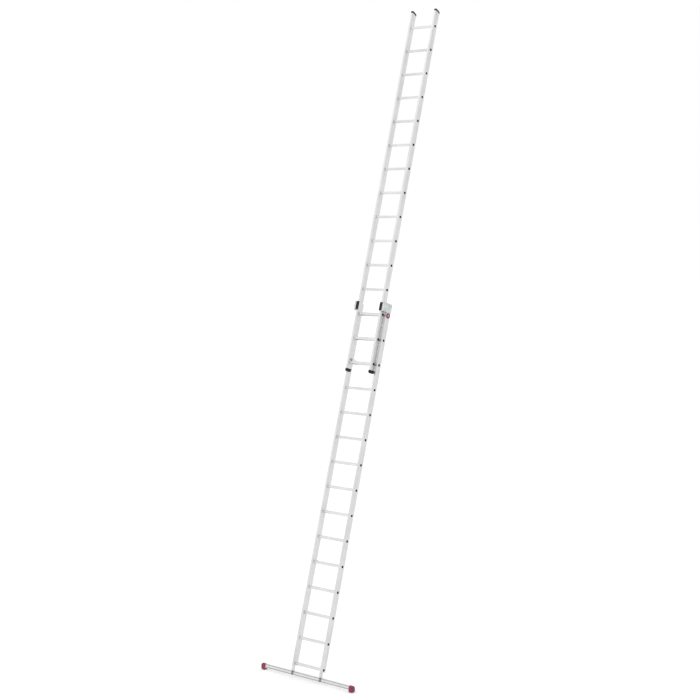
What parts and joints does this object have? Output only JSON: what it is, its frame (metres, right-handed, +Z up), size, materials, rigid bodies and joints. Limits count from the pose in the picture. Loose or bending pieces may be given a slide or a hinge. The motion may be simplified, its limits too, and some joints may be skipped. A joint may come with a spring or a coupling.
{
  "type": "extension ladder",
  "caption": "Two-section push-up extension ladder of aluminium, leaning, with a stabiliser bar, red end caps, guide brackets and swinging rung hooks.",
  "frame": {"origin": "the floor, midway between the soles of the two stabiliser end caps", "axes": "+X along the rungs to the right of a person who faces the ladder, +Y level towards the wall that it leans on, +Z up; the rails lean 16 degrees from +Z towards +Y"},
  "size_m": [1.336, 2.099, 7.3625],
  "materials": {
    "rung_aluminium": "satin extruded, ribbed tread",
    "rail_aluminium": "satin extruded, fine die lines along the rail",
    "bar_aluminium": "satin extruded, grooved",
    "bracket_casting": "tumbled casting",
    "guide_plate": "zinc-coated plate, slightly green-grey",
    "red_plastic": "moulded, fine grain",
    "badge_face": "printed, glossy",
    "grey_plastic": "moulded",
    "black_plastic": "moulded, fine grain",
    "hook_steel": "zinc-plated, tumbled",
    "zinc_steel": "bright zinc plated",
    "rivet_aluminium": "bright"
  },
  "bodies": {
    "lower_section": {"lower_rung_01": "rung_aluminium", "lower_rung_02": "rung_aluminium", "lower_rung_03": "rung_aluminium", "lower_rung_04": "rung_aluminium", "lower_rung_05": "rung_aluminium", "lower_rung_06": "rung_aluminium", "lower_rung_07": "rung_aluminium", "lower_rung_08": "rung_aluminium", "lower_rung_09": "rung_aluminium", "lower_rung_10": "rung_aluminium", "lower_rung_11": "rung_aluminium", "lower_rung_12": "rung_aluminium", "lower_rung_13": "rung_aluminium", "lower_rung_14": "rung_aluminium", "lower_rung_15": "rung_aluminium", "lower_rail_left": "rail_aluminium", "lower_rail_right": "rail_aluminium", "stabiliser_bar": "bar_aluminium", "bar_end_cap_left": "red_plastic", "bar_end_cap_right": "red_plastic", "bar_bracket_left": "bracket_casting", "bar_bracket_right": "bracket_casting", "bar_bracket_cover_left": "grey_plastic", "bar_bracket_cover_right": "grey_plastic", "bar_bolts": "zinc_steel", "bar_nuts": "zinc_steel", "guide_bracket_left": "guide_plate", "guide_bracket_right": "guide_plate", "guide_pad_left": "black_plastic", "guide_pad_right": "black_plastic", "guide_rivets": "rivet_aluminium", "badge_left": "badge_face", "badge_right": "badge_face", "lower_rail_plugs": "grey_plastic"},
    "upper_section": {"upper_rung_01": "rung_aluminium", "upper_rung_02": "rung_aluminium", "upper_rung_03": "rung_aluminium", "upper_rung_04": "rung_aluminium", "upper_rung_05": "rung_aluminium", "upper_rung_06": "rung_aluminium", "upper_rung_07": "rung_aluminium", "upper_rung_08": "rung_aluminium", "upper_rung_09": "rung_aluminium", "upper_rung_10": "rung_aluminium", "upper_rung_11": "rung_aluminium", "upper_rung_12": "rung_aluminium", "upper_rung_13": "rung_aluminium", "upper_rung_14": "rung_aluminium", "upper_rung_15": "rung_aluminium", "upper_rail_left": "rail_aluminium", "upper_rail_right": "rail_aluminium", "top_cap_left": "black_plastic", "top_cap_right": "black_plastic", "upper_foot_left": "black_plastic", "upper_foot_right": "black_plastic", "hook_pins": "zinc_steel", "hook_springs": "zinc_steel"},
    "left_hook": {"rung_hook_left": "hook_steel"},
    "right_hook": {"rung_hook_right": "hook_steel"}
  },
  "joints": [
    {"name": "upper_slide", "type": "slide", "parent": "lower_section", "child": "upper_section", "axis": [0, 0.2756, 0.9613], "range_m": [-3.36, 0]},
    {"name": "left_hook_swing", "type": "hinge", "parent": "upper_section", "child": "left_hook", "pos_m": [-0.147, 0.92519, 3.42408], "axis": [1, 0, 0], "range_deg": [0, 125], "stiffness_Nm_per_rad": 0.1, "springref_deg": -45.84},
    {"name": "right_hook_swing", "type": "hinge", "parent": "upper_section", "child": "right_hook", "pos_m": [0.147, 0.92519, 3.42408], "axis": [1, 0, 0], "range_deg": [0, 125], "stiffness_Nm_per_rad": 0.1, "springref_deg": -45.84}
  ]
}
